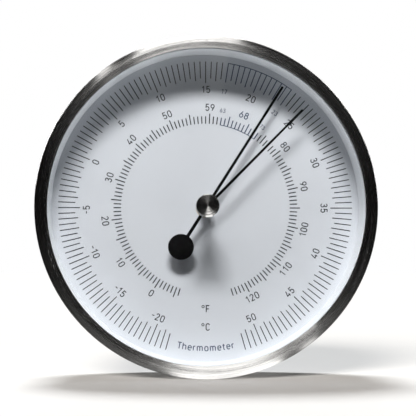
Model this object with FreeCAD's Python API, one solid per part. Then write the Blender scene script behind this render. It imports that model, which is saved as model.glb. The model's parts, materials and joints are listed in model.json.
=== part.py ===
"""Round wall thermometer with a bimetal movement and an outside setting hand. Millimetres.

Frame: +Z up, the dial faces -Y, the wall is the plane y = 0, and the origin is the centre of the back face.
Every turning part turns about the Y axis.
"""

import FreeCAD, Part
import math
import os

os.makedirs("parts", exist_ok=True)
V = FreeCAD.Vector
AXIS = V(0, 1, 0)
TAU = 2 * math.pi

# ---------------------------------------------------------------- driving dimensions
case_r = 50.0            # drum outside radius
case_wall = 1.0
case_rear_y = -0.3       # rear rim, just inside the wall plane
case_front_y = -34.0
case_flange_r = 42.5     # inside radius of the welded ring that the back is screwed to
case_flange_y = (-4.0, -3.0)

bezel_r = 51.5           # outside radius, diameter 103
bezel_in_r = 47.64       # lip opening
bezel_crest_r = 49.3
lip_y = -38.0
bezel_rear_y = -24.6

glass_r = 48.8
glass_y = (-37.0, -35.0)
glass_hole_r = 1.6
gasket_y = (-37.35, -37.0)

ring_front_r = 47.6      # white reflector ring, inside radius at the glass
ring_rear_r = 46.9       # and at the dial
dial_y = (-26.0, -25.0)
dial_r = 48.8
dial_hole_r = 3.0
seat_y = (-25.0, -22.0)
seat_in_r = 44.0

plate_y = (-23.5, -22.0)  # movement base plate
plate_r = 25.0
feet_at_r = 20.0
feet_angles = (30, 150, 270)
foot_r = 1.2
foot_shoulder_r = 2.3
pillar_at_r = 17.0
pillar_angles = (90, 210, 330)
pillar_r = 1.8
spigot_r = 1.2
bridge_y = (-8.0, -6.5)
bridge_screw_r = 0.75

arbor_r = 0.6
arbor_thick_r = 1.0
run = 0.03               # radial running clearance of the arbor
front_bush_y = (-24.2, -21.2)
rear_bush_y = (-9.8, -6.0)
bush_r = 2.5
rear_bush_r = 3.0

strip_t = 0.25           # bimetal strip: 0.25 thick and about 384 long turns about 4.5 degrees per degree Celsius
strip_y = (-19.5, -12.5)
coil_pitch = 0.915
coil_half_turns = 18
collet_r = 2.5
collet_gap = 0.05

arm_y = (-9.4, -8.3)
arm_ring_r = 5.5
arm_run = 0.04
post_half = 1.2
post_z = (11.15, 13.6)
tab_z = (-22.0, -20.6)
tab_y = -3.3

pointer_y = (-29.65, -29.35)
pointer_angle = 32.4     # clockwise from the top, seen from the front: 22.2 degrees Celsius
pointer_tip_r = 43.7
pointer_blade_from = 33.4
pointer_shaft_w = 0.76
pointer_blade_w = 0.86
pointer_tail_r = 14.2
counter_r = 3.92

hand_y = (-32.6, -32.35)
hand_angle = 44.7
hand_tip_r = 41.8
hand_root_w = 0.92
hand_neck_w = 0.66
hand_tip_w = 0.84
hand_tip_len = 6.6

knob_r = 3.42
knob_face_r = 3.16
knob_y = (-43.6, -37.55)
knob_flutes = 32
shaft_r = 1.0
shaft_run = 0.05

cover_y = (-2.6, 0.0)
cover_r = 48.8
cover_screw_at_r = 45.6
cover_screw_angles = (30, 150, 270)
cover_screw_r = 1.2
keyhole_z = 25.0
keyhole_r = 4.0
keyhole_slot_r = 2.1
keyhole_slot_top = 33.0
hanger_y = (-3.8, -2.6)
hanger_half_w = 11.0
hanger_z = (18.0, 38.0)
rivet_at = ((-8.4, 20.4), (8.4, 20.4), (-8.4, 35.6), (8.4, 35.6))


# ---------------------------------------------------------------- helpers
def turn(points):
    """Solid of revolution about Y. A point is (r, y); a 4-tuple (r, y, mid_r, mid_y) is reached by an arc through mid."""
    edges = []
    n = len(points)
    for i in range(n):
        a, b = points[i], points[(i + 1) % n]
        p, q = V(a[0], a[1], 0), V(b[0], b[1], 0)
        if len(b) == 4:
            edges.append(Part.Arc(p, V(b[2], b[3], 0), q).toShape())
        else:
            edges.append(Part.LineSegment(p, q).toShape())
    face = Part.Face(Part.Wire(edges))
    return solid(face.revolve(V(0, 0, 0), AXIS, 360))


def solid(s):
    if s.ShapeType == "Solid":
        out = s
    elif s.Solids:
        out = s.Solids[0] if len(s.Solids) == 1 else Part.makeCompound(s.Solids)
    else:
        out = Part.Solid(s)
    return out


def cyl(r, y0, y1, x=0.0, z=0.0):
    """Cylinder along Y between y0 and y1."""
    lo, hi = min(y0, y1), max(y0, y1)
    return Part.makeCylinder(r, hi - lo, V(x, lo, z), AXIS)


def block(x0, x1, y0, y1, z0, z1):
    return Part.makeBox(x1 - x0, y1 - y0, z1 - z0, V(x0, y0, z0))


def spot(radius, degrees):
    """Point at an angle counted from +X towards +Z."""
    a = math.radians(degrees)
    return radius * math.cos(a), radius * math.sin(a)


def plate_from(points, y0, y1):
    """Flat plate from an outline of (x, z) points; a 4-tuple is reached by an arc through its last two numbers."""
    edges = []
    n = len(points)
    for i in range(n):
        a, b = points[i], points[(i + 1) % n]
        p, q = V(a[0], y0, a[1]), V(b[0], y0, b[1])
        if len(b) == 4:
            edges.append(Part.Arc(p, V(b[2], y0, b[3]), q).toShape())
        else:
            edges.append(Part.LineSegment(p, q).toShape())
    return Part.Face(Part.Wire(edges)).extrude(V(0, y1 - y0, 0))


def clock(shape, degrees):
    """Turn clockwise as seen from the front."""
    out = shape.copy()
    out.rotate(V(0, 0, 0), AXIS, degrees)
    return out


def hexagon(across, y0, y1, x, z):
    r = across / math.sqrt(3)
    pts = [(x + r * math.cos(math.radians(60 * i + 30)), z + r * math.sin(math.radians(60 * i + 30))) for i in range(6)]
    return plate_from(pts, y0, y1)


def fuse(*shapes):
    out = shapes[0]
    for s in shapes[1:]:
        out = out.fuse(s)
    return out.removeSplitter()


def save(name, *shapes):
    solids = [s for shape in shapes for s in shape.Solids]
    for s in solids:
        if not s.isValid() or s.Volume <= 0:
            raise SystemExit("bad solid in " + name)
    (solids[0] if len(solids) == 1 else Part.makeCompound(solids)).exportStep("parts/" + name + ".step")
    print("%-24s %2d solids %10.2f mm3" % (name, len(solids), sum(s.Volume for s in solids)))


# ---------------------------------------------------------------- case
wall_in = case_r - case_wall
save("case_drum", turn([
    (wall_in, case_front_y),
    (case_r - 0.15, case_front_y),
    (case_r, case_front_y + 0.15),
    (case_r, case_rear_y - 0.6),
    (case_r - 0.6, case_rear_y, case_r - 0.176, case_rear_y - 0.176),
    (wall_in, case_rear_y),
]))

# ring welded inside the drum near its rear rim; the back is screwed to it
flange = turn([
    (case_flange_r, case_flange_y[0]), (wall_in, case_flange_y[0]), (wall_in, case_flange_y[1]), (case_flange_r, case_flange_y[1]),
])
for a in cover_screw_angles:
    x, z = spot(cover_screw_at_r, a)
    flange = flange.cut(cyl(cover_screw_r, case_flange_y[0] - 1, case_flange_y[1] + 1, x, z))
save("rear_flange_ring", flange)

bezel = turn([
    (bezel_in_r, gasket_y[0]),
    (bezel_in_r, -37.55),
    (bezel_crest_r, lip_y, 48.4, -37.875),
    (bezel_r, -36.1, 50.76, -37.43),
    (bezel_r, -26.4),
    (bezel_r - 0.25, -26.15),          # fine shadow groove before the rear bead
    (bezel_r - 0.25, -25.95),
    (bezel_r, -25.7),
    (bezel_r, bezel_rear_y - 0.4),
    (bezel_r - 0.4, bezel_rear_y, bezel_r - 0.117, bezel_rear_y - 0.117),
    (case_r + 0.02, bezel_rear_y),
    (case_r + 0.02, case_front_y),
    (glass_r + 0.12, case_front_y),
    (glass_r + 0.12, gasket_y[0]),
])
save("front_bezel", bezel)

save("glass_gasket", turn([
    (bezel_in_r + 0.12, gasket_y[0]), (glass_r, gasket_y[0]), (glass_r, gasket_y[1]), (bezel_in_r + 0.12, gasket_y[1]),
]))

save("front_glass", turn([
    (glass_hole_r, glass_y[0]),
    (glass_r - 0.25, glass_y[0]), (glass_r, glass_y[0] + 0.25),
    (glass_r, glass_y[1] - 0.25), (glass_r - 0.25, glass_y[1]),
    (glass_hole_r, glass_y[1]),
]))

save("knob_bush", turn([
    (shaft_r + shaft_run, -37.35), (1.95, -37.35), (2.05, -37.25), (2.05, glass_y[0]),
    (glass_hole_r, glass_y[0]), (glass_hole_r, glass_y[1]), (2.05, glass_y[1]), (1.85, -34.6), (shaft_r + shaft_run, -34.6),
]))

save("reflector_ring", turn([
    (ring_front_r, glass_y[1]), (glass_r, glass_y[1]), (glass_r, dial_y[0]), (ring_rear_r, dial_y[0]),
]))

dial = cyl(dial_r, *dial_y).cut(cyl(dial_hole_r, dial_y[0] - 1, dial_y[1] + 1))
save("dial_plate", dial)

save("dial_seat_ring", turn([
    (seat_in_r, seat_y[0]), (wall_in - 0.1, seat_y[0]), (wall_in - 0.1, seat_y[1]), (wall_in - 1.3, seat_y[1]),
    (wall_in - 1.3, seat_y[0] + 1.2), (seat_in_r, seat_y[0] + 1.2),
]))

# ---------------------------------------------------------------- movement frame
feet, nuts = [], []
for a in feet_angles:
    x, z = spot(feet_at_r, a)
    feet.append(fuse(cyl(foot_shoulder_r, dial_y[1], plate_y[0], x, z), cyl(foot_r, plate_y[0], -19.8, x, z)))
    nuts.append(hexagon(4.5, plate_y[1], plate_y[1] + 1.8, x, z).cut(cyl(foot_r + 0.02, -23, -19, x, z)))
save("dial_feet", *feet)
save("dial_foot_nuts", *nuts)

base = cyl(plate_r, *plate_y).cut(cyl(bush_r, -25, -20))
for a in feet_angles:
    x, z = spot(feet_at_r, a)
    base = base.cut(cyl(foot_r + 0.05, -25, -20, x, z))
for a in pillar_angles:
    x, z = spot(pillar_at_r, a)
    base = base.cut(cyl(spigot_r, -25, -20, x, z))
for a in (0, 60, 120, 180, 240, 300):   # air holes around the coil
    x, z = spot(11.5, a)
    base = base.cut(cyl(2.6, -25, -20, x, z))
save("movement_base_plate", base)

save("front_bearing_bush", turn([
    (arbor_r + run, front_bush_y[0]), (bush_r - 0.3, front_bush_y[0]), (bush_r, front_bush_y[0] + 0.3), (bush_r, plate_y[1]),
    (3.6, plate_y[1]), (3.6, front_bush_y[1]), (arbor_r + run, front_bush_y[1]),
]))

pillars, bscrews = [], []
for a in pillar_angles:
    x, z = spot(pillar_at_r, a)
    p = fuse(cyl(spigot_r, plate_y[0], plate_y[1], x, z), cyl(pillar_r, plate_y[1], bridge_y[0], x, z))
    waist = cyl(pillar_r + 1, -19.5, -10.5, x, z).cut(cyl(pillar_r - 0.3, -21, -9, x, z))
    p = p.cut(waist).cut(cyl(bridge_screw_r, bridge_y[0] - 5.0, bridge_y[0] + 1, x, z))
    pillars.append(p)
    s = fuse(cyl(1.6, bridge_y[1], bridge_y[1] + 1.2, x, z), cyl(bridge_screw_r - 0.02, bridge_y[0] - 4.6, bridge_y[1], x, z))
    cut = block(x - 2, x + 2, bridge_y[1] + 0.7, bridge_y[1] + 2, z - 0.22, z + 0.22)
    cut.rotate(V(x, 0, z), AXIS, a * 1.7)
    bscrews.append(s.cut(cut))
save("movement_pillars", *pillars)
save("bridge_screws", *bscrews)

bridge = cyl(8.0, *bridge_y)
for a in pillar_angles:
    x, z = spot(pillar_at_r, a)
    lug = cyl(3.6, bridge_y[0], bridge_y[1], x, z)
    strut = block(0, pillar_at_r, bridge_y[0], bridge_y[1], -2.6, 2.6)
    strut.rotate(V(0, 0, 0), AXIS, -a)
    bridge = fuse(bridge, strut, lug)
for a in pillar_angles:
    x, z = spot(pillar_at_r, a)
    bridge = bridge.cut(cyl(bridge_screw_r + 0.1, -10, -5, x, z))
bridge = bridge.cut(cyl(rear_bush_r, -10, -5))
save("movement_bridge", bridge)

save("rear_bearing_bush", turn([
    (arbor_r + run, rear_bush_y[0]), (rear_bush_r - 0.3, rear_bush_y[0]), (rear_bush_r, rear_bush_y[0] + 0.3), (rear_bush_r, bridge_y[1]),
    (4.2, bridge_y[1]), (4.2, rear_bush_y[1]), (arbor_r + run, rear_bush_y[1]),
]))

# ---------------------------------------------------------------- calibration arm, its post, clamp and the bimetal coil
arm = cyl(arm_ring_r, *arm_y)
up = block(-2.2, 2.2, arm_y[0], arm_y[1], 0, post_z[1] + 0.6)
down = plate_from([(-2.6, 0), (2.6, 0), (1.5, -15.0), (1.5, tab_z[0]), (-1.5, tab_z[0]), (-1.5, -15.0)], *arm_y)
tab = block(-1.5, 1.5, arm_y[1] - 0.5, tab_y, tab_z[0], tab_z[1])
tab = tab.cut(block(-0.4, 0.4, tab_y - 1.2, tab_y + 1, tab_z[0] - 1, tab_z[1] + 1))
arm = fuse(arm, up, down, tab).cut(cyl(rear_bush_r + arm_run, arm_y[0] - 1, arm_y[1] + 1))
save("calibration_arm", arm)

post = block(-post_half, post_half, -20.3, arm_y[0], *post_z)
clamp_at_y = (strip_y[0] + strip_y[1]) / 2
post = post.cut(Part.makeCylinder(0.5, 10, V(0, clamp_at_y, 8), V(0, 0, 1)))
save("coil_post", post)
save("coil_clamp_plate", block(-1.1, 1.1, clamp_at_y - 2.2, clamp_at_y + 2.2, 10.22, 10.74).cut(
    Part.makeCylinder(0.5, 10, V(0, clamp_at_y, 8), V(0, 0, 1))))
cs = fuse(
    Part.makeCylinder(1.0, 0.8, V(0, clamp_at_y, post_z[1]), V(0, 0, 1)),
    Part.makeCylinder(0.48, post_z[1] - 10.22, V(0, clamp_at_y, 10.22), V(0, 0, 1)),
).cut(block(-1.5, 1.5, clamp_at_y - 0.15, clamp_at_y + 0.15, post_z[1] + 0.4, post_z[1] + 2))
save("coil_clamp_screw", cs)


def coil():
    """Flat spiral strip made of half circles about two centres, so that every join is tangent."""
    q = coil_pitch / 4
    r0 = collet_r + collet_gap + strip_t / 2 + q
    inner, outer = [], []

    def at(centre, radius, local_degrees):
        # local +x is the row's +Z, local +y is the row's -X
        a = math.radians(local_degrees)
        u, w = centre + radius * math.cos(a), radius * math.sin(a)
        return V(-w, strip_y[0], u)

    for k in range(coil_half_turns):
        centre = -q if k % 2 == 0 else q
        radius = r0 + k * 2 * q
        a0 = 0 if k % 2 == 0 else 180
        for side, edges in ((-strip_t / 2, inner), (strip_t / 2, outer)):
            edges.append(Part.Arc(*[at(centre, radius + side, a0 + d) for d in (0, 90, 180)]).toShape())
    end_c = q + r0 + (coil_half_turns - 1) * 2 * q
    tail = 1.7
    pi, po = V(0, strip_y[0], end_c - strip_t / 2), V(0, strip_y[0], end_c + strip_t / 2)
    ei, eo = pi + V(-tail, 0, 0), po + V(-tail, 0, 0)
    inner.append(Part.LineSegment(pi, ei).toShape())
    outer.append(Part.LineSegment(po, eo).toShape())
    start = Part.LineSegment(at(-q, r0 - strip_t / 2, 0), at(-q, r0 + strip_t / 2, 0)).toShape()
    end = Part.LineSegment(ei, eo).toShape()
    wire = Part.Wire(Part.__sortEdges__(inner + [end] + outer + [start]))
    body = Part.Face(wire).extrude(V(0, strip_y[1] - strip_y[0], 0))
    return body.cut(Part.makeCylinder(0.5, 3, V(0, clamp_at_y, 10.2), V(0, 0, 1))), end_c


strip, end_c = coil()
print("coil outer end at", round(end_c, 3))
save("bimetal_coil", strip)

# ---------------------------------------------------------------- pointer, its arbor and hub
save("pointer_arbor", turn([
    (0, -30.9), (arbor_r - 0.15, -30.9), (arbor_r, -30.75), (arbor_r, -21.0), (arbor_thick_r, -21.0), (arbor_thick_r, -10.0),
    (arbor_r, -10.0), (arbor_r, -5.75), (arbor_r - 0.15, -5.6), (0, -5.6),
]))
save("coil_collet", turn([
    (arbor_thick_r, strip_y[0]), (collet_r - 0.2, strip_y[0]), (collet_r, strip_y[0] + 0.2),
    (collet_r, strip_y[1] - 0.2), (collet_r - 0.2, strip_y[1]), (arbor_thick_r, strip_y[1]),
]))
save("pointer_hub", turn([
    (arbor_r, -28.5), (1.7, -28.5), (1.95, -28.75), (1.95, pointer_y[1]), (1.2, pointer_y[1]), (1.2, pointer_y[0]),
    (1.6, pointer_y[0]), (1.45, -29.95), (arbor_r, -29.95),
]))

h, b = pointer_shaft_w / 2, pointer_blade_w / 2
blade = plate_from([
    (-h * 1.25, 0), (-h, pointer_blade_from - 0.8), (-b, pointer_blade_from + 0.4), (-b * 0.85, pointer_tip_r - 0.15),
    (0, pointer_tip_r), (b * 0.85, pointer_tip_r - 0.15), (b, pointer_blade_from + 0.4), (h, pointer_blade_from - 0.8), (h * 1.25, 0),
    (h * 1.4, -pointer_tail_r - 1.2), (-h * 1.4, -pointer_tail_r - 1.2),
], *pointer_y)
blade = fuse(blade, cyl(2.0, *pointer_y)).cut(cyl(1.2, -31, -28))
save("temperature_pointer", clock(blade, pointer_angle))
counter = cyl(counter_r, pointer_y[0] - 0.4, pointer_y[0], 0, -pointer_tail_r)
edge = [e for e in counter.Edges if abs(e.BoundBox.YMin - (pointer_y[0] - 0.4)) < 1e-6 and e.BoundBox.YLength < 1e-6]
counter = counter.makeFillet(0.1, edge)
save("pointer_counterweight", clock(counter, pointer_angle))

# ---------------------------------------------------------------- setting hand, its shaft and knob
rw, nw, tw = hand_root_w / 2, hand_neck_w / 2, hand_tip_w / 2
neck = hand_tip_r - hand_tip_len
hand = plate_from([
    (-rw, 0), (-nw, neck - 0.7), (-tw, neck + 0.3), (-tw * 0.85, hand_tip_r - 0.4), (0, hand_tip_r - 0.25), (tw * 0.85, hand_tip_r - 0.4),
    (tw, neck + 0.3), (nw, neck - 0.7), (rw, 0),
], *hand_y)
hand = fuse(hand, cyl(1.6, *hand_y)).cut(cyl(0.95, -34, -31))
save("set_hand", clock(hand, hand_angle))
save("set_hand_hub", turn([
    (0.6, -34.25), (1.3, -34.25), (1.3, hand_y[0]), (0.95, hand_y[0]), (0.95, hand_y[1]), (1.25, hand_y[1]), (1.1, -32.0), (0.6, -32.0),
]))
save("friction_washer", turn([(0.65, -34.5), (1.6, -34.5), (1.6, -34.42), (0.7, -34.25), (0.65, -34.25)]))
save("set_shaft", turn([
    (0, -41.6), (0.7, -41.6), (0.85, -41.45), (0.85, knob_y[1]), (shaft_r, knob_y[1]), (shaft_r, -34.5), (0.6, -34.5), (0.6, -31.9), (0, -31.9),
]))
knob = turn([
    (0, knob_y[0] + 0.46), (0.3, knob_y[0] + 0.44), (knob_face_r, knob_y[0]), (knob_r, knob_y[0] + 0.26),
    (knob_r, knob_y[1] - 0.35), (knob_r - 0.3, knob_y[1]), (0.85, knob_y[1]), (0.85, -41.6), (0, -41.6),
])
for i in range(knob_flutes):
    x, z = spot(knob_r + 0.09, i * 360 / knob_flutes)
    knob = knob.cut(cyl(0.2, knob_y[0] + 0.9, knob_y[1] - 0.7, x, z))
save("set_knob", knob)

# ---------------------------------------------------------------- back cover, gasket, screws, hanger
cover = turn([(0, cover_y[0]), (cover_r, cover_y[0]), (cover_r, cover_y[1] - 0.5), (cover_r - 0.5, cover_y[1]), (0, cover_y[1])])
win = fuse(
    block(-6.2, 6.2, cover_y[0] - 1, cover_y[1] + 1, keyhole_z - 1, keyhole_slot_top - 1.5),
    cyl(6.2, cover_y[0] - 1, cover_y[1] + 1, 0, keyhole_z - 1), cyl(6.2, cover_y[0] - 1, cover_y[1] + 1, 0, keyhole_slot_top - 1.5),
)
cover = cover.cut(win)
for i in range(13):                     # air slots over the lower half
    a = 180 + 15 * i
    if a == 270:
        continue
    s = fuse(block(29, 37, cover_y[0] - 1, cover_y[1] + 1, -0.9, 0.9), cyl(0.9, cover_y[0] - 1, cover_y[1] + 1, 29, 0),
             cyl(0.9, cover_y[0] - 1, cover_y[1] + 1, 37, 0))
    s.rotate(V(0, 0, 0), AXIS, -a)
    cover = cover.cut(s)
# curved slot for the screwdriver that moves the calibration arm
mid_r, half_w, sweep = (abs(tab_z[0]) + abs(tab_z[1])) / 2, 1.7, 15
ring = cyl(mid_r + half_w, cover_y[0] - 1, cover_y[1] + 1).cut(cyl(mid_r - half_w, cover_y[0] - 2, cover_y[1] + 2))
t = math.tan(math.radians(sweep)) * 40
wedge = plate_from([(0, 0), (t, -40), (-t, -40)], cover_y[0] - 2, cover_y[1] + 2)
slot = ring.common(wedge)
for s in (-1, 1):
    x, z = spot(mid_r, 270 + s * sweep)
    slot = slot.fuse(cyl(half_w, cover_y[0] - 1, cover_y[1] + 1, x, z))
cover = cover.cut(slot)
groove = cyl(41.6, -0.35, 1).cut(cyl(41.0, -1, 2))
cover = cover.cut(groove)
screws = []
for a in cover_screw_angles:
    x, z = spot(cover_screw_at_r, a)
    cone = Part.makeCone(2.3, 1.2, 1.2, V(x, 0, z), V(0, -1, 0))
    cover = cover.cut(cyl(cover_screw_r, -4, 1, x, z)).cut(cone)
    s = fuse(Part.makeCone(2.22, 1.12, 1.16, V(x, -0.06, z), V(0, -1, 0)), cyl(cover_screw_r - 0.02, -7.0, -0.4, x, z))
    for k in (0, 90):
        c = block(x - 1.25, x + 1.25, -0.75, 0.5, z - 0.22, z + 0.22)
        c.rotate(V(x, 0, z), AXIS, k + a * 0.7)
        s = s.cut(c)
    screws.append(s)
save("back_cover_screws", *screws)

gasket = turn([(case_flange_r + 0.5, case_flange_y[1]), (cover_r - 0.2, case_flange_y[1]), (cover_r - 0.2, cover_y[0]), (case_flange_r + 0.5, cover_y[0])])
for a in cover_screw_angles:
    x, z = spot(cover_screw_at_r, a)
    gasket = gasket.cut(cyl(cover_screw_r + 0.1, -6, 0, x, z))
save("back_gasket", gasket)

hanger = block(-hanger_half_w, hanger_half_w, hanger_y[0], hanger_y[1], *hanger_z)
corner = [e for e in hanger.Edges if e.BoundBox.XLength < 1e-6 and e.BoundBox.ZLength < 1e-6]
hanger = hanger.makeFillet(2.5, corner)
key = fuse(cyl(keyhole_r, -5, -1, 0, keyhole_z), block(-keyhole_slot_r, keyhole_slot_r, -5, -1, keyhole_z, keyhole_slot_top),
           cyl(keyhole_slot_r, -5, -1, 0, keyhole_slot_top))
hanger = hanger.cut(key)
rivets = []
for x, z in rivet_at:
    hanger = hanger.cut(cyl(1.0, -5, -1, x, z))
    cover = cover.cut(cyl(1.0, -5, 1, x, z)).cut(cyl(2.0, -0.8, 1, x, z))
    dome = turn([(0, -4.5), (1.8, -3.8, 1.25, -4.3), (0, -3.8)])
    dome.translate(V(x, 0, z))
    rivets.append(fuse(dome, cyl(1.0, -3.8, -0.8, x, z), cyl(1.9, -0.8, -0.15, x, z)))
save("hanger_plate", hanger)
save("hanger_rivets", *rivets)
save("back_cover", cover)
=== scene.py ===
"""Looks of the round wall thermometer: camera, studio, materials and the dial print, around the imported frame."""

import json
import math

import bpy
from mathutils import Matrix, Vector


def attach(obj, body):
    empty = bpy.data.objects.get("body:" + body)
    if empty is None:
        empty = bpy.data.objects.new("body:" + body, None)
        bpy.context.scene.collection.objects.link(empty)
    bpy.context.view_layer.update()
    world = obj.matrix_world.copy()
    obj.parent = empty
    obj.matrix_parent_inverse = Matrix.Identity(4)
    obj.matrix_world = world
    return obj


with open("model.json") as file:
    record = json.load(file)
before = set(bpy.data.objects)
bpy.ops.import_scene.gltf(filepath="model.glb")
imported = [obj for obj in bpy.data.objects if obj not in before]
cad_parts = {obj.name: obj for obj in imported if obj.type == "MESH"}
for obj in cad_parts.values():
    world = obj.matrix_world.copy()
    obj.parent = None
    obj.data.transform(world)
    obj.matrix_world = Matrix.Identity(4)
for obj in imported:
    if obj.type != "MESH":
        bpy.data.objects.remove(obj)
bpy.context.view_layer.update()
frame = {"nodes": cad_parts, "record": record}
NODES = frame["nodes"]
SCENE = bpy.context.scene
FLOOR_Z = -0.0515


# ---------------------------------------------------------------- camera
def aim(obj, target):
    d = Vector(target) - obj.location
    obj.rotation_mode = "QUATERNION"
    obj.rotation_quaternion = d.to_track_quat("-Z", "Y")


cam_data = bpy.data.cameras.new("camera")
cam_data.lens = 132.93
cam_data.sensor_width = 36.0
cam_data.clip_start, cam_data.clip_end = 0.01, 100.0
camera = bpy.data.objects.new("camera", cam_data)
SCENE.collection.objects.link(camera)
camera.location = (-0.0195, -0.495, -0.0194)
aim(camera, (0.00029, -0.037, -0.00047))
SCENE.camera = camera
SCENE.view_settings.view_transform = "Standard"
SCENE.view_settings.look = "None"
SCENE.view_settings.exposure = 0.0
SCENE.view_settings.gamma = 1.0


# ---------------------------------------------------------------- node helpers
class Mat:
    """A node material with short calls for the nodes used here."""

    def __init__(self, name):
        self.m = bpy.data.materials.new(name)
        self.m.use_nodes = True
        self.t = self.m.node_tree
        self.t.nodes.clear()
        self.out = self.t.nodes.new("ShaderNodeOutputMaterial")
        self.x = 0

    def new(self, kind, **props):
        n = self.t.nodes.new(kind)
        self.x += 160
        n.location = (self.x - 2400, 0)
        for k, v in props.items():
            setattr(n, k, v)
        return n

    def put(self, socket, value):
        if isinstance(value, bpy.types.NodeSocket):
            self.t.links.new(value, socket)
        else:
            socket.default_value = value

    def coords(self):
        return self.new("ShaderNodeTexCoord").outputs["Object"]

    def math(self, op, a, b=0.0, clamp=False):
        n = self.new("ShaderNodeMath", operation=op, use_clamp=clamp)
        self.put(n.inputs[0], a)
        self.put(n.inputs[1], b)
        return n.outputs[0]

    def vec(self, op, a, b=(0.0, 0.0, 0.0)):
        n = self.new("ShaderNodeVectorMath", operation=op)
        self.put(n.inputs[0], a)
        self.put(n.inputs[1], b)
        return n.outputs["Value"] if op in ("LENGTH", "DOT_PRODUCT", "DISTANCE") else n.outputs["Vector"]

    def split(self, v):
        n = self.new("ShaderNodeSeparateXYZ")
        self.put(n.inputs[0], v)
        return n.outputs

    def join(self, x, y, z):
        n = self.new("ShaderNodeCombineXYZ")
        for s, v in zip(n.inputs, (x, y, z)):
            self.put(s, v)
        return n.outputs[0]

    def noise(self, vector, scale, detail=3.0, rough=0.5):
        n = self.new("ShaderNodeTexNoise")
        self.put(n.inputs["Vector"], vector)
        n.inputs["Scale"].default_value = scale
        n.inputs["Detail"].default_value = detail
        n.inputs["Roughness"].default_value = rough
        return n.outputs["Fac"]

    def voronoi(self, vector, scale, feature="F1", output="Distance"):
        n = self.new("ShaderNodeTexVoronoi", feature=feature)
        self.put(n.inputs["Vector"], vector)
        n.inputs["Scale"].default_value = scale
        return n.outputs[output]

    def span(self, value, lo, hi, to_lo, to_hi):
        n = self.new("ShaderNodeMapRange")
        for i, v in enumerate((value, lo, hi, to_lo, to_hi)):
            self.put(n.inputs[i], v)
        return n.outputs[0]

    def mix(self, fac, a, b):
        n = self.new("ShaderNodeMix", data_type="RGBA")
        self.put(n.inputs["Factor"], fac)
        ab = [s for s in n.inputs if s.type == "RGBA"]
        self.put(ab[0], a if isinstance(a, bpy.types.NodeSocket) else (*a, 1.0))
        self.put(ab[1], b if isinstance(b, bpy.types.NodeSocket) else (*b, 1.0))
        return [s for s in n.outputs if s.type == "RGBA"][0]

    def bump(self, height, strength, distance, normal=None):
        n = self.new("ShaderNodeBump")
        n.inputs["Strength"].default_value = strength
        n.inputs["Distance"].default_value = distance
        self.put(n.inputs["Height"], height)
        if normal is not None:
            self.put(n.inputs["Normal"], normal)
        return n.outputs[0]

    def surface(self, **values):
        b = self.new("ShaderNodeBsdfPrincipled")
        for k, v in values.items():
            if isinstance(v, tuple) and len(v) == 3 and k in ("Base Color", "Coat Tint"):
                v = (*v, 1.0)
            self.put(b.inputs[k], v)
        self.t.links.new(b.outputs[0], self.out.inputs["Surface"])
        return b


def turned_metal(name, tone_lo, tone_hi, rough, spread, groove, stretch=2.2, aniso=0.85, bump=0.28, stains=0.06):
    """Metal brushed or turned round the Y axis: fine grooves run round it, and gloss spreads across them."""
    m = Mat(name)
    geo = m.new("ShaderNodeNewGeometry")
    pos, nor = geo.outputs["Position"], geo.outputs["Normal"]
    x, y, z = m.split(pos)
    flat = m.join(x, 0.0, z)
    r = m.vec("LENGTH", flat)
    round_ = m.vec("NORMALIZE", m.vec("CROSS_PRODUCT", (0.0, 1.0, 0.0), flat))
    across = m.vec("NORMALIZE", m.vec("CROSS_PRODUCT", nor, round_))
    rr = m.math("MAXIMUM", r, 1e-4)
    cx, cz = m.math("DIVIDE", x, rr), m.math("DIVIDE", z, rr)
    run = m.math("SUBTRACT", r, y)
    kx, kz = m.math("MULTIPLY", cx, stretch), m.math("MULTIPLY", cz, stretch)
    wide = m.join(kx, m.math("MULTIPLY", run, 1000.0 / groove), kz)
    fine = m.join(m.math("MULTIPLY", kx, 3.1), m.math("MULTIPLY", run, 4600.0 / groove), m.math("MULTIPLY", kz, 3.1))
    bands = m.join(m.math("MULTIPLY", kx, 0.6), m.math("MULTIPLY", run, 380.0 / groove), m.math("MULTIPLY", kz, 0.6))
    n1 = m.noise(wide, 1.0, 3.0, 0.6)
    n2 = m.noise(fine, 1.0, 2.0, 0.5)
    n3 = m.noise(bands, 1.0, 2.0, 0.5)
    lines = m.math("ADD", m.math("ADD", m.math("MULTIPLY", n1, 0.45), m.math("MULTIPLY", n2, 0.25)), m.math("MULTIPLY", n3, 0.30))
    soft = m.noise(m.coords(), 90.0, 4.0, 0.55)
    tone = m.math("ADD", m.span(lines, 0.38, 0.62, 0.0, 1.0), m.math("MULTIPLY", m.math("SUBTRACT", soft, 0.5), stains * 8), clamp=True)
    color = m.mix(tone, tone_lo, tone_hi)
    ro = m.math("ADD", m.span(lines, 0.38, 0.62, rough + spread, rough - spread), m.math("MULTIPLY", m.math("SUBTRACT", soft, 0.5), stains))
    m.surface(**{
        "Base Color": color, "Metallic": 1.0, "Roughness": ro, "Anisotropic": aniso, "Tangent": across,
        "Normal": m.bump(lines, bump, 0.00003),
    })
    return m.m


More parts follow.
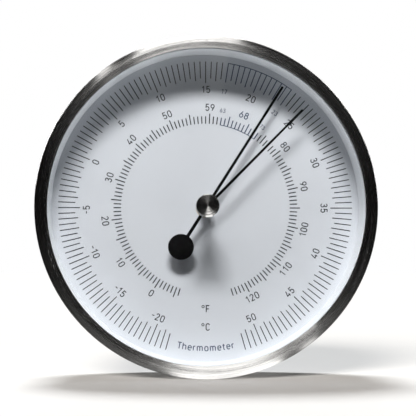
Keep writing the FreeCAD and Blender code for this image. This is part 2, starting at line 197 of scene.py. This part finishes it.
def plain_metal(name, lo, hi, rough, grain=350.0, bump=0.12, spots=0.0, spot_tone=(0.2, 0.18, 0.15)):
    """Small metal parts: tumbled finish with cloudy tone, fine pits and rubbed edges."""
    m = Mat(name)
    c = m.coords()
    cloud = m.noise(c, grain * 0.6, 4.0, 0.6)
    fine = m.noise(c, grain * 6.0, 3.0, 0.6)
    edge = m.new("ShaderNodeNewGeometry").outputs["Pointiness"]
    rub = m.span(edge, 0.5, 0.56, 0.0, 0.6)
    color = m.mix(m.span(cloud, 0.3, 0.7, 0.0, 1.0), lo, hi)
    if spots:
        dots = m.span(m.voronoi(c, grain * 1.5), 0.0, 0.22, spots, 0.0)
        color = m.mix(dots, color, spot_tone)
    color = m.mix(rub, color, tuple(min(1.0, v * 1.12) for v in hi))
    ro = m.math("ADD", m.span(cloud, 0.3, 0.7, rough + 0.06, rough - 0.05), m.math("MULTIPLY", m.math("SUBTRACT", fine, 0.5), 0.12))
    m.surface(**{"Base Color": color, "Metallic": 1.0, "Roughness": ro, "Normal": m.bump(fine, bump, 0.00002)})
    return m.m


def rolled_metal(name, lo, hi, rough, axis="x", grain=1.0, bump=0.15):
    """Sheet metal with straight rolling lines."""
    m = Mat(name)
    c = m.coords()
    x, y, z = m.split(c)
    lines = {
        "x": m.join(m.math("MULTIPLY", x, 60.0), m.math("MULTIPLY", y, 2500.0), m.math("MULTIPLY", z, 2500.0)),
        "z": m.join(m.math("MULTIPLY", x, 2500.0), m.math("MULTIPLY", y, 2500.0), m.math("MULTIPLY", z, 60.0)),
        "y": m.join(m.math("MULTIPLY", x, 60.0), m.math("MULTIPLY", y, 4000.0), m.math("MULTIPLY", z, 60.0)),
    }[axis]
    n1 = m.noise(lines, grain, 3.0, 0.6)
    cloud = m.noise(c, 160.0, 4.0, 0.55)
    tone = m.math("ADD", m.math("MULTIPLY", n1, 0.5), m.math("MULTIPLY", cloud, 0.5))
    color = m.mix(m.span(tone, 0.35, 0.65, 0.0, 1.0), lo, hi)
    m.surface(**{
        "Base Color": color, "Metallic": 1.0, "Roughness": m.span(tone, 0.3, 0.7, rough + 0.08, rough - 0.06),
        "Normal": m.bump(n1, bump, 0.00002),
    })
    return m.m


def moulded(name, lo, hi, rough, grain, bump, depth, specular=0.5, cell=False, stain=0.5):
    """Moulded plastic, rubber, foam or paint: cloudy tone, fine surface grain."""
    m = Mat(name)
    c = m.coords()
    cloud = m.noise(c, 140.0, 4.0, 0.6)
    fine = m.voronoi(c, grain) if cell else m.noise(c, grain, 4.0, 0.6)
    tone = m.math("ADD", m.math("MULTIPLY", cloud, stain), m.math("MULTIPLY", fine, 1.0 - stain))
    color = m.mix(m.span(tone, 0.35, 0.65, 0.0, 1.0), lo, hi)
    m.surface(**{
        "Base Color": color, "Roughness": m.span(tone, 0.3, 0.7, rough + 0.06, rough - 0.06),
        "Specular IOR Level": specular, "Normal": m.bump(fine, bump, depth),
    })
    return m.m


def clear_glass(name):
    m = Mat(name)
    c = m.coords()
    b = m.new("ShaderNodeBsdfPrincipled")
    smear = m.noise(c, 60.0, 3.0, 0.5)
    m.put(b.inputs["Base Color"], m.mix(m.span(smear, 0.3, 0.7, 0.0, 1.0), (0.985, 0.99, 0.99), (0.995, 1.0, 0.998)))
    b.inputs["Roughness"].default_value = 0.0
    b.inputs["IOR"].default_value = 1.5
    b.inputs["Transmission Weight"].default_value = 1.0
    m.put(b.inputs["Normal"], m.bump(m.noise(c, 25.0, 1.0, 0.4), 0.02, 0.00002))
    t = m.new("ShaderNodeBsdfTransparent")
    path = m.new("ShaderNodeLightPath")
    through = m.math("MAXIMUM", path.outputs["Is Shadow Ray"], path.outputs["Is Diffuse Ray"])
    mixer = m.new("ShaderNodeMixShader")
    m.put(mixer.inputs[0], through)
    m.t.links.new(b.outputs[0], mixer.inputs[1])
    m.t.links.new(t.outputs[0], mixer.inputs[2])
    m.t.links.new(mixer.outputs[0], m.out.inputs["Surface"])
    return m.m


def dial_paint(name):
    """Satin white dial enamel: faint cool clouding, fine orange peel."""
    m = Mat(name)
    c = m.coords()
    cloud = m.noise(c, 45.0, 3.0, 0.5)
    fine = m.noise(c, 2600.0, 3.0, 0.6)
    speck = m.span(m.voronoi(c, 900.0), 0.0, 0.06, 0.25, 0.0)
    color = m.mix(m.span(cloud, 0.3, 0.7, 0.0, 1.0), (0.700, 0.724, 0.764), (0.722, 0.746, 0.786))
    color = m.mix(speck, color, (0.62, 0.64, 0.68))
    m.surface(**{
        "Base Color": color, "Roughness": m.span(fine, 0.3, 0.7, 0.62, 0.54), "Specular IOR Level": 0.35,
        "Normal": m.bump(fine, 0.18, 0.00001),
    })
    return m.m


def ink(name, lo, hi):
    """Screen-printed ink: slightly uneven density."""
    m = Mat(name)
    c = m.coords()
    dens = m.noise(c, 1500.0, 3.0, 0.6)
    m.surface(**{
        "Base Color": m.mix(m.span(dens, 0.3, 0.7, 0.0, 1.0), lo, hi), "Roughness": m.span(dens, 0.3, 0.7, 0.66, 0.56),
        "Specular IOR Level": 0.3, "Normal": m.bump(dens, 0.1, 0.00001),
    })
    return m.m


STEEL_LO, STEEL_HI = (0.40, 0.390, 0.378), (0.80, 0.785, 0.765)
MATS = {
    "bezel_steel": turned_metal("bezel_brushed_steel", STEEL_LO, STEEL_HI, 0.27, 0.03, 0.34, aniso=1.0, bump=0.7),
    "drum_steel": turned_metal("drum_brushed_steel", (0.27, 0.264, 0.256), (0.47, 0.461, 0.449), 0.34, 0.05, 0.5, aniso=0.95, bump=0.5),
    "knob_steel": turned_metal("knob_turned_steel", (0.20, 0.193, 0.185), (0.62, 0.61, 0.595), 0.22, 0.03, 0.46, stretch=0.5, aniso=0.7, bump=1.0),
    "glass": clear_glass("window_glass"),
    "gasket_rubber": moulded("gasket_black_rubber", (0.012, 0.012, 0.013), (0.03, 0.03, 0.032), 0.72, 2200.0, 0.25, 0.00002, 0.3),
    "white_ring": moulded("ring_white_plastic", (0.82, 0.845, 0.875), (0.87, 0.89, 0.915), 0.42, 2400.0, 0.10, 0.00001, 0.4),
    "dial_paint": dial_paint("dial_white_enamel"),
    "print_grey": ink("print_slate_grey", (0.014, 0.016, 0.020), (0.028, 0.032, 0.040)),
    "print_blue": ink("print_slate_blue", (0.036, 0.054, 0.105), (0.060, 0.084, 0.145)),
    "hand_black": moulded("hands_black_paint", (0.0008, 0.0008, 0.0009), (0.0022, 0.0022, 0.0024), 0.34, 2800.0, 0.10, 0.00001, 0.2),
    "weight_black": moulded("weight_black_paint", (0.0007, 0.0007, 0.0008), (0.0020, 0.0020, 0.0022), 0.36, 2600.0, 0.10, 0.00001, 0.15),
    "shaft_steel": turned_metal("shaft_ground_steel", (0.45, 0.45, 0.45), (0.66, 0.66, 0.65), 0.24, 0.05, 0.15, stretch=1.0, bump=0.2),
    "screw_steel": plain_metal("screws_zinc_steel", (0.42, 0.43, 0.45), (0.62, 0.63, 0.64), 0.34, 500.0, 0.15),
    "brass": plain_metal("movement_brass", (0.62, 0.44, 0.19), (0.78, 0.58, 0.28), 0.30, 300.0, 0.12, 0.35, (0.36, 0.24, 0.10)),
    "bimetal": rolled_metal("bimetal_rolled_strip", (0.45, 0.40, 0.33), (0.64, 0.58, 0.50), 0.33, "y"),
    "nylon": moulded("bush_nylon", (0.62, 0.60, 0.54), (0.72, 0.70, 0.64), 0.46, 1800.0, 0.12, 0.00002, 0.45),
    "cover_plastic": moulded("back_cover_black_plastic", (0.014, 0.014, 0.015), (0.030, 0.030, 0.032), 0.52, 1500.0, 0.5, 0.00004, 0.45, cell=True, stain=0.6),
    "foam": moulded("gasket_grey_foam", (0.060, 0.062, 0.065), (0.16, 0.165, 0.17), 0.85, 1400.0, 0.8, 0.00010, 0.2, cell=True, stain=0.3),
    "zinc_plate": rolled_metal("zinc_plated_sheet", (0.44, 0.46, 0.48), (0.64, 0.66, 0.68), 0.40, "x"),
}
slot_of = {}
for entry in frame["record"].get("materials", []):
    for n in entry.get("nodes", []) or []:
        slot_of[n] = entry["slot"]
for n, o in NODES.items():
    slot = slot_of.get(n) or (o.data.materials[0].name if o.data.materials else None)
    chosen = MATS[slot.split(".")[0]]
    if not o.data.materials:
        o.data.materials.append(chosen)
    for i in range(len(o.material_slots)):
        o.material_slots[i].material = chosen


# ---------------------------------------------------------------- dial print
PRINT_Y = -0.02602
STROKE = 0.128          # stroke width as a share of the cap height


def arc(cx, cy, rx, ry, a0, a1, n=10):
    """Points on an ellipse from a0 to a1 degrees, counted from +x towards +y."""
    return [
        (cx + rx * math.cos(math.radians(a0 + (a1 - a0) * i / n)), cy + ry * math.sin(math.radians(a0 + (a1 - a0) * i / n)))
        for i in range(n + 1)
    ]


T = 1.0 - STROKE        # height of a capital's centre line
X = 0.735 - STROKE      # and of a small letter's
W = 0.44


def rounded(w, h, r, x0=0.0, y0=0.0):
    """Closed upright loop with straight sides."""
    rx = w / 2
    return (
        arc(x0 + rx, y0 + h - r, rx, r, 0, 180, 14) + arc(x0 + rx, y0 + r, rx, r, 180, 360, 14) + [(x0 + w, y0 + h - r)]
    )


# glyph: (ink width of the centre lines, advance, strokes); a stroke whose first and last points meet is closed
GLYPHS = {
    "0": (W, 0.72, [rounded(W, T, 0.25)]),
    "1": (0.24, 0.72, [[(0.0, T - 0.20), (0.22, T), (0.22, 0.0)]]),
    "2": (W, 0.72, [arc(0.215, T - 0.215, 0.205, 0.215, 168, -22, 14) + [(0.0, 0.0), (W, 0.0)]]),
    "3": (W, 0.72, [
        arc(0.20, T - 0.20, 0.19, 0.20, 160, -90, 16) + arc(0.20, 0.236, 0.225, 0.236, 90, -160, 18)[0:],
        [(0.20, T - 0.40), (0.12, T - 0.40)],
    ]),
    "4": (0.50, 0.72, [[(0.27, T), (0.0, 0.20), (0.50, 0.20)], [(0.36, 0.40), (0.36, 0.0)]]),
    "5": (W, 0.72, [[(0.40, T), (0.05, T), (0.03, 0.45)] + arc(0.215, 0.27, 0.225, 0.27, 128, -155, 18)]),
    "6": (W, 0.72, [arc(0.22, 0.25, 0.22, 0.25, 0, 360, 26), [(0.29, T), (0.022, 0.33)]]),
    "7": (W, 0.72, [[(0.0, T), (W, T), (0.15, 0.0)]]),
    "8": (W, 0.72, [arc(0.22, T - 0.195, 0.19, 0.195, -90, 270, 24), arc(0.22, 0.241, 0.22, 0.241, 90, 450, 26)]),
    "9": (W, 0.72, [arc(0.22, T - 0.25, 0.22, 0.25, 180, 540, 26), [(0.15, 0.0), (W - 0.022, T - 0.33)]]),
    "C": (W, 0.74, [arc(0.22, T - 0.24, 0.22, 0.24, 15, 180, 12) + arc(0.22, 0.24, 0.22, 0.24, 180, 345, 12)]),
    "F": (0.40, 0.66, [[(0.40, T), (0.0, T), (0.0, 0.0)], [(0.0, T * 0.5), (0.34, T * 0.5)]]),
    "T": (0.46, 0.60, [[(0.0, T), (0.46, T)], [(0.23, T), (0.23, 0.0)]]),
    "h": (0.37, 0.60, [[(0.0, T), (0.0, 0.0)], [(0.0, X - 0.20)] + arc(0.185, X - 0.19, 0.185, 0.19, 165, 0, 12) + [(0.37, 0.0)]]),
    "e": (0.37, 0.59, [
        [(0.0, X * 0.52), (0.37, X * 0.52)] + arc(0.185, X - 0.195, 0.185, 0.195, 0, 180, 14) + arc(0.185, 0.195, 0.185, 0.195, 180, 318, 12),
    ]),
    "r": (0.22, 0.42, [[(0.0, X), (0.0, 0.0)], [(0.0, X - 0.22)] + arc(0.17, X - 0.18, 0.17, 0.18, 165, 72, 8)]),
    "m": (0.60, 0.84, [
        [(0.0, X), (0.0, 0.0)],
        [(0.0, X - 0.18)] + arc(0.15, X - 0.16, 0.15, 0.16, 165, 0, 10) + [(0.30, 0.0)],
        [(0.30, X - 0.18)] + arc(0.45, X - 0.16, 0.15, 0.16, 165, 0, 10) + [(0.60, 0.0)],
    ]),
    "o": (0.38, 0.60, [rounded(0.38, X, 0.21)]),
    "t": (0.24, 0.43, [[(0.07, X + 0.20), (0.07, 0.15)] + arc(0.21, 0.14, 0.14, 0.14, 180, 268, 8), [(-0.03, X), (0.23, X)]]),
}


class Print:
    """Flat ribbons lying on the dial, in (x, z) millimetres."""

    def __init__(self, name, slot):
        self.name, self.slot, self.v, self.f, self.k = name, slot, [], [], 0

    def point(self, x, z):
        self.v.append((x / 1000.0, PRINT_Y - self.k * 1.0e-6, z / 1000.0))
        return len(self.v) - 1

    def ribbon(self, pts, width):
        """A stroke of even width along pts with mitred corners; it closes when its ends meet."""
        closed = math.dist(pts[0], pts[-1]) < 1e-6
        p = pts[:-1] if closed else list(pts)
        p = [q for i, q in enumerate(p) if i == 0 or math.dist(q, p[i - 1]) > 1e-6]
        n, rows = len(p), []
        for i in range(n):
            prev = p[i - 1] if (closed or i > 0) else None
            nxt = p[(i + 1) % n] if (closed or i < n - 1) else None
            dirs = []
            if prev is not None:
                d = math.dist(prev, p[i])
                dirs.append(((p[i][0] - prev[0]) / d, (p[i][1] - prev[1]) / d))
            if nxt is not None:
                d = math.dist(nxt, p[i])
                dirs.append(((nxt[0] - p[i][0]) / d, (nxt[1] - p[i][1]) / d))
            tx, tz = sum(d[0] for d in dirs), sum(d[1] for d in dirs)
            length = math.hypot(tx, tz) or 1.0
            nx, nz = -tz / length, tx / length
            c = abs(nx * -dirs[0][1] + nz * dirs[0][0])
            s = width / 2 / max(c, 0.5)
            rows.append((self.point(p[i][0] + nx * s, p[i][1] + nz * s), self.point(p[i][0] - nx * s, p[i][1] - nz * s)))
        for i in range(n if closed else n - 1):
            a, b = rows[i], rows[(i + 1) % n]
            self.f.append((a[0], b[0], b[1], a[1]))
        self.k = (self.k + 1) % 6

    def tick(self, angle, r0, r1, width):
        a = math.radians(angle)
        s, c = math.sin(a), math.cos(a)
        self.ribbon([(r0 * s, r0 * c), (r1 * s, r1 * c)], width)

    def band(self, a0, a1, radius, width):
        n = max(8, int(abs(a1 - a0)))
        self.ribbon([
            (radius * math.sin(math.radians(a0 + (a1 - a0) * i / n)), radius * math.cos(math.radians(a0 + (a1 - a0) * i / n)))
            for i in range(n + 1)
        ], width)

    def glyph(self, strokes, u0, v0, height, angle, radius, flip, bold=1.0):
        """Strokes in shares of the height, moved by (u0, v0) mm from the point at angle and radius."""
        a = math.radians(angle)
        s, c = math.sin(a), math.cos(a)
        up, right = (s, c), (c, -s)
        if flip:
            up, right = (-s, -c), (-c, s)
        for st in strokes:
            pts = []
            for gx, gy in st:
                u, v = u0 + gx * height, v0 + (gy + STROKE / 2) * height
                pts.append((radius * s + u * right[0] + v * up[0], radius * c + u * right[1] + v * up[1]))
            self.ribbon(pts, STROKE * height * bold)

    def number(self, text, angle, radius, height, flip=False, bold=1.0):
        digits = text.lstrip("-")
        adv = 0.72 * height
        total = adv * (len(digits) - 1)
        first = last = None
        for i, ch in enumerate(digits):
            w = GLYPHS[ch][0]
            centre = -total / 2 + i * adv
            left = centre - w * height / 2
            first = left if first is None else first
            self.glyph(GLYPHS[ch][2], left, -height / 2, height, angle, radius, flip, bold)
        if text.startswith("-"):
            half = STROKE * height / 2
            x1 = (first - half - 0.43) / height
            self.glyph([[(x1 - 0.34, 0.5 - STROKE / 2), (x1, 0.5 - STROKE / 2)]], 0.0, -height / 2, height, angle, radius, flip, bold)

    def unit(self, letter, radius, height):
        """Degree ring and letter, upright at the bottom of the dial."""
        w = GLYPHS[letter][0]
        ring_r = 0.158
        total = 2 * ring_r + STROKE * 0.8 + 0.16 + w
        x0 = -total / 2 * height
        self.glyph([arc(ring_r, T - ring_r + 0.02, ring_r, ring_r, 0, 360, 16)], x0, -height / 2, height, 180.0, radius, True, 0.75)
        self.glyph(GLYPHS[letter][2], x0 + (2 * ring_r + 0.16 + STROKE * 0.8) * height, -height / 2, height, 180.0, radius, True)

    def word(self, text, half_span, baseline, height, bold=1.0, wide=1.0):
        """Text on an arc, upright at the bottom; its ink runs from +half_span to -half_span about the bottom."""
        starts, pen = [], 0.0
        for ch in text:
            starts.append(pen)
            pen += GLYPHS[ch][1] + GLYPHS[ch][0] * (wide - 1.0)
        ink = starts[-1] + GLYPHS[text[-1]][0] * wide
        k = 2 * half_span / ink
        for ch, at in zip(text, starts):
            w = GLYPHS[ch][0] * wide
            mid = 180.0 + half_span - (at + w / 2) * k
            strokes = [[(px * wide, py) for px, py in stroke] for stroke in GLYPHS[ch][2]]
            self.glyph(strokes, -w / 2 * height, 0.0, height, mid, baseline, True, bold)

    def build(self, material):
        mesh = bpy.data.meshes.new(self.name)
        faces = []
        for f in self.f:
            a, b, c = (self.v[i] for i in f[:3])
            area = (b[0] - a[0]) * (c[2] - a[2]) - (b[2] - a[2]) * (c[0] - a[0])
            faces.append(f if area > 0 else tuple(reversed(f)))
        mesh.from_pydata(self.v, [], faces)
        mesh.validate()
        mesh.update()
        obj = bpy.data.objects.new(self.name, mesh)
        SCENE.collection.objects.link(obj)
        mesh.materials.append(material)
        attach(obj, "case")
        return obj


grey, blue = Print("dial_print_grey", "print_grey"), Print("dial_print_blue", "print_blue")


def c_angle(t):
    return (t - 15.0) * 4.5


def f_angle(t):
    return (t - 59.0) * 2.5


for half in range(-43, 104):
    t = half / 2.0
    inner = 38.25 if half % 10 == 0 else 38.96 if half % 2 == 0 else 39.72
    (blue if 17 <= t <= 23 else grey).tick(c_angle(t), inner, 44.90, 0.285)
for t in range(-6, 125):
    (blue if 63 <= t <= 73 else grey).tick(f_angle(t), 25.78, 28.93 if t % 5 == 0 else 28.07, 0.33)
blue.band(c_angle(17) - 0.15, c_angle(23) + 0.15, 44.90, 0.22)
blue.band(f_angle(63) - 0.25, f_angle(73) + 0.25, 25.78, 0.22)

for t in range(-20, 51, 5):
    grey.number(str(t), c_angle(t), 36.3, 2.2, flip=t in (-20, -15, -10, 40, 45, 50))
blue.number("17", 9.0, 36.1, 1.45)
blue.number("23", 36.0, 36.1, 1.45)
for t in (0, 10, 20, 30, 40, 50, 80, 90, 100, 110, 120):
    grey.number(str(t), f_angle(t), 30.8, 2.2, flip=t in (0, 10, 20, 100, 110, 120))
grey.number("59", 2.5, 30.8, 2.2)
blue.number("68", 22.5, 30.8, 2.2)
blue.number("63", 10.0, 30.3, 1.35)
blue.number("73", 35.0, 30.3, 1.35)
grey.unit("F", 30.8, 2.3)
grey.unit("C", 36.3, 2.3)
blue.word("Thermometer", 11.65, 43.7, 2.2, 1.0, wide=1.16)
grey.build(MATS["print_grey"])
blue.build(MATS["print_blue"])


# ---------------------------------------------------------------- floor and world
floor_mesh = bpy.data.meshes.new("studio_floor")
floor_mesh.from_pydata([(-20, -20, FLOOR_Z), (20, -20, FLOOR_Z), (20, 20, FLOOR_Z), (-20, 20, FLOOR_Z)], [], [(0, 1, 2, 3)])
floor = bpy.data.objects.new("studio_floor", floor_mesh)
SCENE.collection.objects.link(floor)
fm = Mat("floor_pale")
fm.surface(**{
    "Base Color": fm.mix(fm.noise(fm.coords(), 30.0, 3.0, 0.5), (0.80, 0.79, 0.775), (0.82, 0.81, 0.80)), "Roughness": 0.9,
    "Specular IOR Level": 0.0,
})
floor_mesh.materials.append(fm.m)
floor.visible_diffuse = False
floor.visible_glossy = False
floor.visible_transmission = False
floor.visible_shadow = False

card_mesh = bpy.data.meshes.new("studio_black_card")
card_mesh.from_pydata([(-0.10, -0.60, FLOOR_Z), (0.10, -0.60, FLOOR_Z), (0.10, -0.16, FLOOR_Z), (-0.10, -0.16, FLOOR_Z)], [], [(0, 1, 2, 3)])
card = bpy.data.objects.new("studio_black_card", card_mesh)
SCENE.collection.objects.link(card)
cm = Mat("card_black_felt")
cm.surface(**{"Base Color": cm.mix(cm.noise(cm.coords(), 400.0, 3.0, 0.6), (0.004, 0.004, 0.004), (0.010, 0.010, 0.010)), "Roughness": 1.0, "Specular IOR Level": 0.0})
card_mesh.materials.append(cm.m)
card.visible_camera = False
card.visible_diffuse = False
card.visible_transmission = False
card.visible_shadow = False

only_floor = bpy.data.collections.new("lit_floor_only")
only_floor.objects.link(floor)
not_floor = bpy.data.collections.new("lit_all_but_floor")
not_floor.objects.link(floor)
for entry in not_floor.collection_objects:
    entry.light_linking.link_state = "EXCLUDE"

# The studio round the object, as reflections see it: a strip of bright panel overhead and its twin below,
# a narrow panel beside it, a pale table, and dark flags at both sides. Stops: clock angle, brightness.
STUDIO = (
    (-180, 1.75), (-169, 1.75), (-167, 0.24), (-150, 0.13), (-135, 0.08), (-118, 0.035), (-100, 0.012),
    (-75, 0.008), (-55, 0.030), (-40, 0.060), (-39, 1.60), (-35, 1.60), (-34, 0.02), (-24.5, 0.03), (-23, 2.00),
    (11.0, 2.00), (12.5, 0.04), (40, 0.035), (65, 0.020), (85, 0.008), (105, 0.012), (122, 0.05), (139, 0.13),
    (141, 1.00), (145, 1.00), (147, 0.17), (153, 0.20), (155, 1.75), (180, 1.75),
)
world = bpy.data.worlds.new("studio")
SCENE.world = world
world.use_nodes = True
wt = world.node_tree
wt.nodes.clear()


def wnode(kind, inputs=(), **props):
    n = wt.nodes.new(kind)
    for k, v in props.items():
        setattr(n, k, v)
    for i, v in enumerate(inputs):
        if isinstance(v, bpy.types.NodeSocket):
            wt.links.new(v, n.inputs[i])
        elif v is not None:
            n.inputs[i].default_value = v
    return n


w_out = wnode("ShaderNodeOutputWorld")
w_dir = wnode("ShaderNodeTexCoord").outputs["Generated"]
w_xyz = wnode("ShaderNodeSeparateXYZ", (w_dir,)).outputs
w_x = wnode("ShaderNodeMath", (w_xyz[0], 0.036), operation="SUBTRACT").outputs[0]
w_z = wnode("ShaderNodeMath", (w_xyz[2], 0.042), operation="SUBTRACT").outputs[0]
w_turn = wnode("ShaderNodeMath", (w_x, w_z), operation="ARCTAN2").outputs[0]
w_fac = wnode("ShaderNodeMapRange", (w_turn, -math.pi, math.pi, 0.0, 1.0)).outputs[0]
w_curve = wt.nodes.new("ShaderNodeFloatCurve")
curve = w_curve.mapping.curves[0]
top = max(v for _, v in STUDIO)
w_curve.mapping.clip_min_x, w_curve.mapping.clip_max_x = 0.0, 1.0
w_curve.mapping.clip_min_y, w_curve.mapping.clip_max_y = 0.0, 1.0
curve.points[0].location = (0.0, STUDIO[0][1] / top)
curve.points[1].location = (1.0, STUDIO[-1][1] / top)
for deg, v in STUDIO[1:-1]:
    curve.points.new((deg + 180.0) / 360.0, v / top)
for p in curve.points:
    p.handle_type = "VECTOR"
w_curve.mapping.update()
wt.links.new(w_fac, w_curve.inputs["Value"])
w_panels = wnode("ShaderNodeMath", (w_curve.outputs[0], top), operation="MULTIPLY").outputs[0]
w_front = wnode("ShaderNodeMapRange", (w_xyz[1], -0.995, -0.972, 0.0, 1.0)).outputs[0]
w_refl = wnode("ShaderNodeMath", (w_panels, w_front), operation="MULTIPLY").outputs[0]
w_path = wnode("ShaderNodeLightPath")
w_gloss = wnode("ShaderNodeMix", data_type="FLOAT")
w_gloss.inputs[2].default_value = 0.006       # diffuse and other rays
wt.links.new(w_refl, w_gloss.inputs[3])
wt.links.new(w_path.outputs["Is Glossy Ray"], w_gloss.inputs[0])
w_cam = wnode("ShaderNodeMix", data_type="FLOAT")
w_cam.inputs[3].default_value = 1.0
wt.links.new(w_path.outputs["Is Camera Ray"], w_cam.inputs[0])
wt.links.new(w_gloss.outputs[0], w_cam.inputs[2])
w_bg = wnode("ShaderNodeBackground", ((1.0, 1.0, 1.0, 1.0), w_cam.outputs[0]))
wt.links.new(w_bg.outputs[0], w_out.inputs["Surface"])


# ---------------------------------------------------------------- lights
def softbox(name, at, target, width, height, power, color=(1.0, 1.0, 1.0), glossy=True):
    data = bpy.data.lights.new(name, "AREA")
    data.shape = "RECTANGLE"
    data.size, data.size_y = width, height
    data.energy = power
    data.color = color
    obj = bpy.data.objects.new(name, data)
    SCENE.collection.objects.link(obj)
    obj.location = at
    aim(obj, target)
    obj.visible_camera = False
    obj.visible_glossy = glossy
    obj.light_linking.receiver_collection = not_floor
    return obj


def floor_sun(name, toward, angle, strength, color=(1.0, 1.0, 1.0)):
    data = bpy.data.lights.new(name, "SUN")
    data.energy = strength
    data.angle = math.radians(angle)
    data.color = color
    obj = bpy.data.objects.new(name, data)
    SCENE.collection.objects.link(obj)
    obj.location = Vector(toward) * 2.0
    aim(obj, (0.0, 0.0, 0.0))
    obj.visible_camera = False
    obj.light_linking.receiver_collection = only_floor
    return obj


softbox("key", (-0.042, -0.655, 0.755), (0.0, -0.03, 0.0), 0.402, 0.15, 12.2, glossy=False)
softbox("side_strip", (-0.50, -0.655, 0.755), (0.0, -0.03, 0.0), 0.045, 0.15, 0.9, glossy=False)
softbox("fill_left", (-0.95, -0.17, -0.12), (0.0, -0.03, 0.0), 0.30, 0.30, 2.4, (0.96, 0.98, 1.0), glossy=False)
softbox("fill_right", (0.95, -0.17, -0.12), (0.0, -0.03, 0.0), 0.30, 0.30, 3.2, (0.96, 0.98, 1.0), glossy=False)
softbox("table_bounce", (-0.05, -0.12, -0.72), (0.0, -0.03, 0.0), 0.60, 0.20, 3.2, (0.97, 0.985, 1.0), glossy=False)
softbox("back_left", (-0.50, 0.95, 0.35), (0.0, -0.02, 0.0), 0.45, 0.45, 6.0)
softbox("back_right", (0.50, 0.95, 0.30), (0.0, -0.02, 0.0), 0.45, 0.45, 5.0)
softbox("back_top", (0.0, 0.90, 0.45), (0.0, -0.02, 0.03), 0.30, 0.20, 4.0)
floor_sun("floor_from_behind", (-0.060, 0.548, 0.834), 17.0, 3.00, (0.955, 0.98, 1.0))
floor_sun("floor_from_behind_low", (-0.017, 0.975, 0.222), 12.0, 0.71)
floor_sun("floor_from_front", (-0.234, -0.880, 0.413), 18.0, 3.50, (1.0, 0.955, 0.905))
